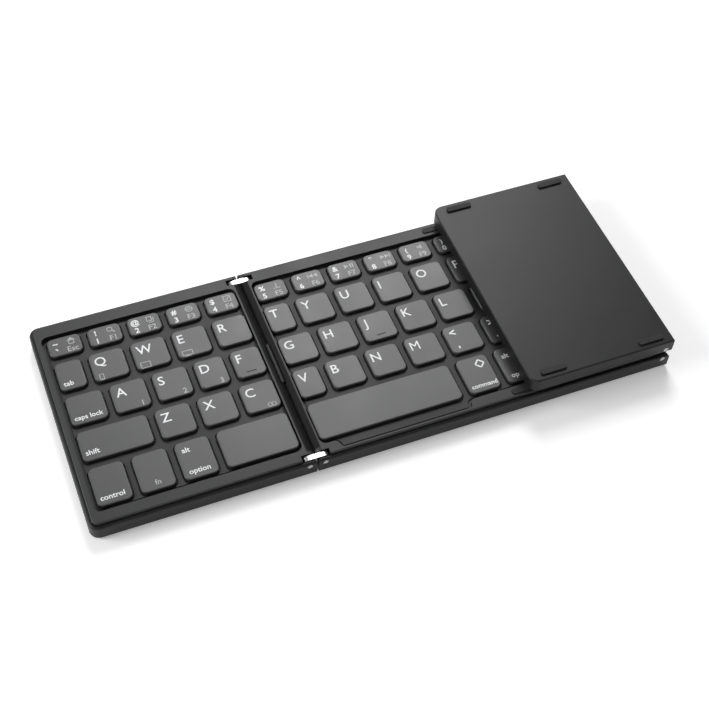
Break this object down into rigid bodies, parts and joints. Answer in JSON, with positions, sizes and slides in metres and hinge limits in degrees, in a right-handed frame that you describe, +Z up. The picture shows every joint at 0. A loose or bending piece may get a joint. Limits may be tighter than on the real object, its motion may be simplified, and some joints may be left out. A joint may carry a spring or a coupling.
{
  "type": "folding keyboard",
  "caption": "Three-panel folding keyboard with low keys on two panels, a touchpad in the third, and paired metal hinge links at each seam.",
  "frame": {"origin": "centre of the footprint, on the surface that the feet rest on", "axes": "+X along the keyboard from the left wing to the right hinge, +Y from the typist to the back, +Z up"},
  "size_m": [0.2386, 0.098, 0.0176],
  "materials": {
    "shell_plastic": "fine matte texture",
    "deck_plastic": "matte",
    "rim_plastic": "satin",
    "key_plastic": "fine matte texture",
    "touchpad_plastic": "smooth matte",
    "link_metal": "satin",
    "pin_metal": "satin",
    "plate_metal": "rolled",
    "socket_metal": "satin",
    "foot_rubber": "matte",
    "sleeve_rubber": "satin",
    "dome_silicone": "matte",
    "board_laminate": "solder mask",
    "battery_foil": "foil"
  },
  "bodies": {
    "middle": {"middle_shell": "shell_plastic", "middle_rim": "rim_plastic", "middle_deck": "deck_plastic", "middle_key_plate": "plate_metal", "middle_dome_sheet": "dome_silicone", "middle_pins": "pin_metal", "middle_feet": "foot_rubber", "bumpers": "foot_rubber"},
    "left_link": {"left_links": "link_metal", "left_flex_sleeve": "sleeve_rubber"},
    "left_wing": {"left_shell": "shell_plastic", "left_rim": "rim_plastic", "left_deck": "deck_plastic", "left_key_plate": "plate_metal", "left_dome_sheet": "dome_silicone", "left_wing_pins": "pin_metal", "left_feet": "foot_rubber"},
    "right_link": {"right_links": "link_metal", "right_flex_sleeve": "sleeve_rubber"},
    "right_wing": {"right_shell": "shell_plastic", "right_rim": "rim_plastic", "main_board": "board_laminate", "battery": "battery_foil", "charging_socket": "socket_metal", "right_wing_pins": "pin_metal", "right_feet": "foot_rubber"},
    "touchpad": {"touchpad": "touchpad_plastic"},
    "q_key": {"q_key": "key_plastic"},
    "w_key": {"w_key": "key_plastic"},
    "e_key": {"e_key": "key_plastic"},
    "r_key": {"r_key": "key_plastic"},
    "a_key": {"a_key": "key_plastic"},
    "s_key": {"s_key": "key_plastic"},
    "d_key": {"d_key": "key_plastic"},
    "f_key": {"f_key": "key_plastic"},
    "z_key": {"z_key": "key_plastic"},
    "x_key": {"x_key": "key_plastic"},
    "c_key": {"c_key": "key_plastic"},
    "left_top_row_keys": {"left_top_row_keys": "key_plastic"},
    "left_side_keys": {"left_side_keys": "key_plastic"},
    "left_space_key": {"left_space_key": "key_plastic"},
    "t_key": {"t_key": "key_plastic"},
    "y_key": {"y_key": "key_plastic"},
    "u_key": {"u_key": "key_plastic"},
    "i_key": {"i_key": "key_plastic"},
    "o_key": {"o_key": "key_plastic"},
    "p_key": {"p_key": "key_plastic"},
    "g_key": {"g_key": "key_plastic"},
    "h_key": {"h_key": "key_plastic"},
    "j_key": {"j_key": "key_plastic"},
    "k_key": {"k_key": "key_plastic"},
    "l_key": {"l_key": "key_plastic"},
    "v_key": {"v_key": "key_plastic"},
    "b_key": {"b_key": "key_plastic"},
    "n_key": {"n_key": "key_plastic"},
    "m_key": {"m_key": "key_plastic"},
    "middle_top_row_keys": {"middle_top_row_keys": "key_plastic"},
    "punctuation_keys": {"punctuation_keys": "key_plastic"},
    "right_side_keys": {"right_side_keys": "key_plastic"},
    "space_key": {"space_key": "key_plastic"}
  },
  "joints": [
    {"name": "left_link_fold", "type": "hinge", "parent": "middle", "child": "left_link", "pos_m": [-0.02865, 0, 0.00565], "axis": [0, 1, 0], "range_deg": [0, 90], "deforming": ["left_flex_sleeve"]},
    {"name": "left_wing_fold", "type": "hinge", "parent": "left_link", "child": "left_wing", "pos_m": [-0.03495, 0, 0.00565], "axis": [0, 1, 0], "range_deg": [0, 90], "deforming": ["left_flex_sleeve"]},
    {"name": "right_link_fold", "type": "hinge", "parent": "middle", "child": "right_link", "pos_m": [0.11645, 0, 0.00565], "axis": [0, 1, 0], "range_deg": [0, 90], "deforming": ["right_flex_sleeve"]},
    {"name": "right_wing_fold", "type": "hinge", "parent": "right_link", "child": "right_wing", "pos_m": [0.11645, 0, 0.01195], "axis": [0, 1, 0], "range_deg": [0, 90], "deforming": ["right_flex_sleeve"]},
    {"name": "touchpad_click", "type": "slide", "parent": "right_wing", "child": "touchpad", "axis": [0, 0, 1], "range_m": [0, 0.0004], "stiffness_N_per_m": 2000, "springref_m": -0.0003},
    {"name": "q_key_press", "type": "slide", "parent": "left_wing", "child": "q_key", "axis": [0, 0, -1], "range_m": [0, 0.0015], "stiffness_N_per_m": 400, "springref_m": -0.001, "deforming": ["left_dome_sheet"]},
    {"name": "w_key_press", "type": "slide", "parent": "left_wing", "child": "w_key", "axis": [0, 0, -1], "range_m": [0, 0.0015], "stiffness_N_per_m": 400, "springref_m": -0.001, "deforming": ["left_dome_sheet"]},
    {"name": "e_key_press", "type": "slide", "parent": "left_wing", "child": "e_key", "axis": [0, 0, -1], "range_m": [0, 0.0015], "stiffness_N_per_m": 400, "springref_m": -0.001, "deforming": ["left_dome_sheet"]},
    {"name": "r_key_press", "type": "slide", "parent": "left_wing", "child": "r_key", "axis": [0, 0, -1], "range_m": [0, 0.0015], "stiffness_N_per_m": 400, "springref_m": -0.001, "deforming": ["left_dome_sheet"]},
    {"name": "a_key_press", "type": "slide", "parent": "left_wing", "child": "a_key", "axis": [0, 0, -1], "range_m": [0, 0.0015], "stiffness_N_per_m": 400, "springref_m": -0.001, "deforming": ["left_dome_sheet"]},
    {"name": "s_key_press", "type": "slide", "parent": "left_wing", "child": "s_key", "axis": [0, 0, -1], "range_m": [0, 0.0015], "stiffness_N_per_m": 400, "springref_m": -0.001, "deforming": ["left_dome_sheet"]},
    {"name": "d_key_press", "type": "slide", "parent": "left_wing", "child": "d_key", "axis": [0, 0, -1], "range_m": [0, 0.0015], "stiffness_N_per_m": 400, "springref_m": -0.001, "deforming": ["left_dome_sheet"]},
    {"name": "f_key_press", "type": "slide", "parent": "left_wing", "child": "f_key", "axis": [0, 0, -1], "range_m": [0, 0.0015], "stiffness_N_per_m": 400, "springref_m": -0.001, "deforming": ["left_dome_sheet"]},
    {"name": "z_key_press", "type": "slide", "parent": "left_wing", "child": "z_key", "axis": [0, 0, -1], "range_m": [0, 0.0015], "stiffness_N_per_m": 400, "springref_m": -0.001, "deforming": ["left_dome_sheet"]},
    {"name": "x_key_press", "type": "slide", "parent": "left_wing", "child": "x_key", "axis": [0, 0, -1], "range_m": [0, 0.0015], "stiffness_N_per_m": 400, "springref_m": -0.001, "deforming": ["left_dome_sheet"]},
    {"name": "c_key_press", "type": "slide", "parent": "left_wing", "child": "c_key", "axis": [0, 0, -1], "range_m": [0, 0.0015], "stiffness_N_per_m": 400, "springref_m": -0.001, "deforming": ["left_dome_sheet"]},
    {"name": "left_top_row_keys_press", "type": "slide", "parent": "left_wing", "child": "left_top_row_keys", "axis": [0, 0, -1], "range_m": [0, 0.0015], "stiffness_N_per_m": 400, "springref_m": -0.001, "deforming": ["left_dome_sheet"]},
    {"name": "left_side_keys_press", "type": "slide", "parent": "left_wing", "child": "left_side_keys", "axis": [0, 0, -1], "range_m": [0, 0.0015], "stiffness_N_per_m": 400, "springref_m": -0.001, "deforming": ["left_dome_sheet"]},
    {"name": "left_space_key_press", "type": "slide", "parent": "left_wing", "child": "left_space_key", "axis": [0, 0, -1], "range_m": [0, 0.0015], "stiffness_N_per_m": 400, "springref_m": -0.001, "deforming": ["left_dome_sheet"]},
    {"name": "t_key_press", "type": "slide", "parent": "middle", "child": "t_key", "axis": [0, 0, -1], "range_m": [0, 0.0015], "stiffness_N_per_m": 400, "springref_m": -0.001, "deforming": ["middle_dome_sheet"]},
    {"name": "y_key_press", "type": "slide", "parent": "middle", "child": "y_key", "axis": [0, 0, -1], "range_m": [0, 0.0015], "stiffness_N_per_m": 400, "springref_m": -0.001, "deforming": ["middle_dome_sheet"]},
    {"name": "u_key_press", "type": "slide", "parent": "middle", "child": "u_key", "axis": [0, 0, -1], "range_m": [0, 0.0015], "stiffness_N_per_m": 400, "springref_m": -0.001, "deforming": ["middle_dome_sheet"]},
    {"name": "i_key_press", "type": "slide", "parent": "middle", "child": "i_key", "axis": [0, 0, -1], "range_m": [0, 0.0015], "stiffness_N_per_m": 400, "springref_m": -0.001, "deforming": ["middle_dome_sheet"]},
    {"name": "o_key_press", "type": "slide", "parent": "middle", "child": "o_key", "axis": [0, 0, -1], "range_m": [0, 0.0015], "stiffness_N_per_m": 400, "springref_m": -0.001, "deforming": ["middle_dome_sheet"]},
    {"name": "p_key_press", "type": "slide", "parent": "middle", "child": "p_key", "axis": [0, 0, -1], "range_m": [0, 0.0015], "stiffness_N_per_m": 400, "springref_m": -0.001, "deforming": ["middle_dome_sheet"]},
    {"name": "g_key_press", "type": "slide", "parent": "middle", "child": "g_key", "axis": [0, 0, -1], "range_m": [0, 0.0015], "stiffness_N_per_m": 400, "springref_m": -0.001, "deforming": ["middle_dome_sheet"]},
    {"name": "h_key_press", "type": "slide", "parent": "middle", "child": "h_key", "axis": [0, 0, -1], "range_m": [0, 0.0015], "stiffness_N_per_m": 400, "springref_m": -0.001, "deforming": ["middle_dome_sheet"]},
    {"name": "j_key_press", "type": "slide", "parent": "middle", "child": "j_key", "axis": [0, 0, -1], "range_m": [0, 0.0015], "stiffness_N_per_m": 400, "springref_m": -0.001, "deforming": ["middle_dome_sheet"]},
    {"name": "k_key_press", "type": "slide", "parent": "middle", "child": "k_key", "axis": [0, 0, -1], "range_m": [0, 0.0015], "stiffness_N_per_m": 400, "springref_m": -0.001, "deforming": ["middle_dome_sheet"]},
    {"name": "l_key_press", "type": "slide", "parent": "middle", "child": "l_key", "axis": [0, 0, -1], "range_m": [0, 0.0015], "stiffness_N_per_m": 400, "springref_m": -0.001, "deforming": ["middle_dome_sheet"]},
    {"name": "v_key_press", "type": "slide", "parent": "middle", "child": "v_key", "axis": [0, 0, -1], "range_m": [0, 0.0015], "stiffness_N_per_m": 400, "springref_m": -0.001, "deforming": ["middle_dome_sheet"]},
    {"name": "b_key_press", "type": "slide", "parent": "middle", "child": "b_key", "axis": [0, 0, -1], "range_m": [0, 0.0015], "stiffness_N_per_m": 400, "springref_m": -0.001, "deforming": ["middle_dome_sheet"]},
    {"name": "n_key_press", "type": "slide", "parent": "middle", "child": "n_key", "axis": [0, 0, -1], "range_m": [0, 0.0015], "stiffness_N_per_m": 400, "springref_m": -0.001, "deforming": ["middle_dome_sheet"]},
    {"name": "m_key_press", "type": "slide", "parent": "middle", "child": "m_key", "axis": [0, 0, -1], "range_m": [0, 0.0015], "stiffness_N_per_m": 400, "springref_m": -0.001, "deforming": ["middle_dome_sheet"]},
    {"name": "middle_top_row_keys_press", "type": "slide", "parent": "middle", "child": "middle_top_row_keys", "axis": [0, 0, -1], "range_m": [0, 0.0015], "stiffness_N_per_m": 400, "springref_m": -0.001, "deforming": ["middle_dome_sheet"]},
    {"name": "punctuation_keys_press", "type": "slide", "parent": "middle", "child": "punctuation_keys", "axis": [0, 0, -1], "range_m": [0, 0.0015], "stiffness_N_per_m": 400, "springref_m": -0.001, "deforming": ["middle_dome_sheet"]},
    {"name": "right_side_keys_press", "type": "slide", "parent": "middle", "child": "right_side_keys", "axis": [0, 0, -1], "range_m": [0, 0.0015], "stiffness_N_per_m": 400, "springref_m": -0.001, "deforming": ["middle_dome_sheet"]},
    {"name": "space_key_press", "type": "slide", "parent": "middle", "child": "space_key", "axis": [0, 0, -1], "range_m": [0, 0.0015], "stiffness_N_per_m": 400, "springref_m": -0.001, "deforming": ["middle_dome_sheet"]}
  ],
  "couplings": [
    {"joint": "left_wing_fold", "follows": "left_link_fold", "ratio": 1},
    {"joint": "right_wing_fold", "follows": "right_link_fold", "ratio": 1}
  ]
}
